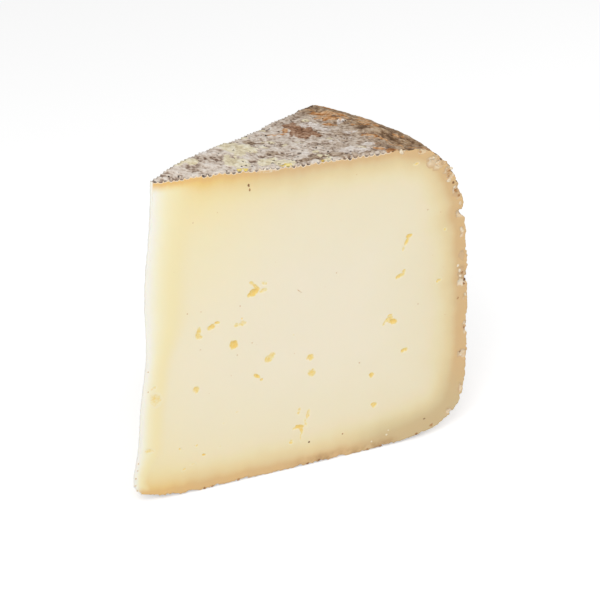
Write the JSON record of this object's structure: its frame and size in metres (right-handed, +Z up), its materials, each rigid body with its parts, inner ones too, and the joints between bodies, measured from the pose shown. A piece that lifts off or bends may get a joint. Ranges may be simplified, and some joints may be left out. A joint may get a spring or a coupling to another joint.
{
  "type": "tomme cheese wedge",
  "caption": "Wedge cut from a tall round tomme: pale paste with small eyes on both cut faces and a mottled natural rind, standing on its lower face.",
  "frame": {"origin": "bottom centre of the wedge's bounding box, in the plane of the lower face", "axes": "+X from the thin tip towards the rind side, +Y from the front cut towards the back cut's far end, +Z up along the wheel's axis"},
  "size_m": [0.1084, 0.058, 0.0994],
  "materials": {
    "cheese": "matt pale ivory paste with a mottled grey, cream and ochre rind"
  },
  "bodies": {
    "root": {"tomme_wedge": "cheese"}
  },
  "joints": []
}
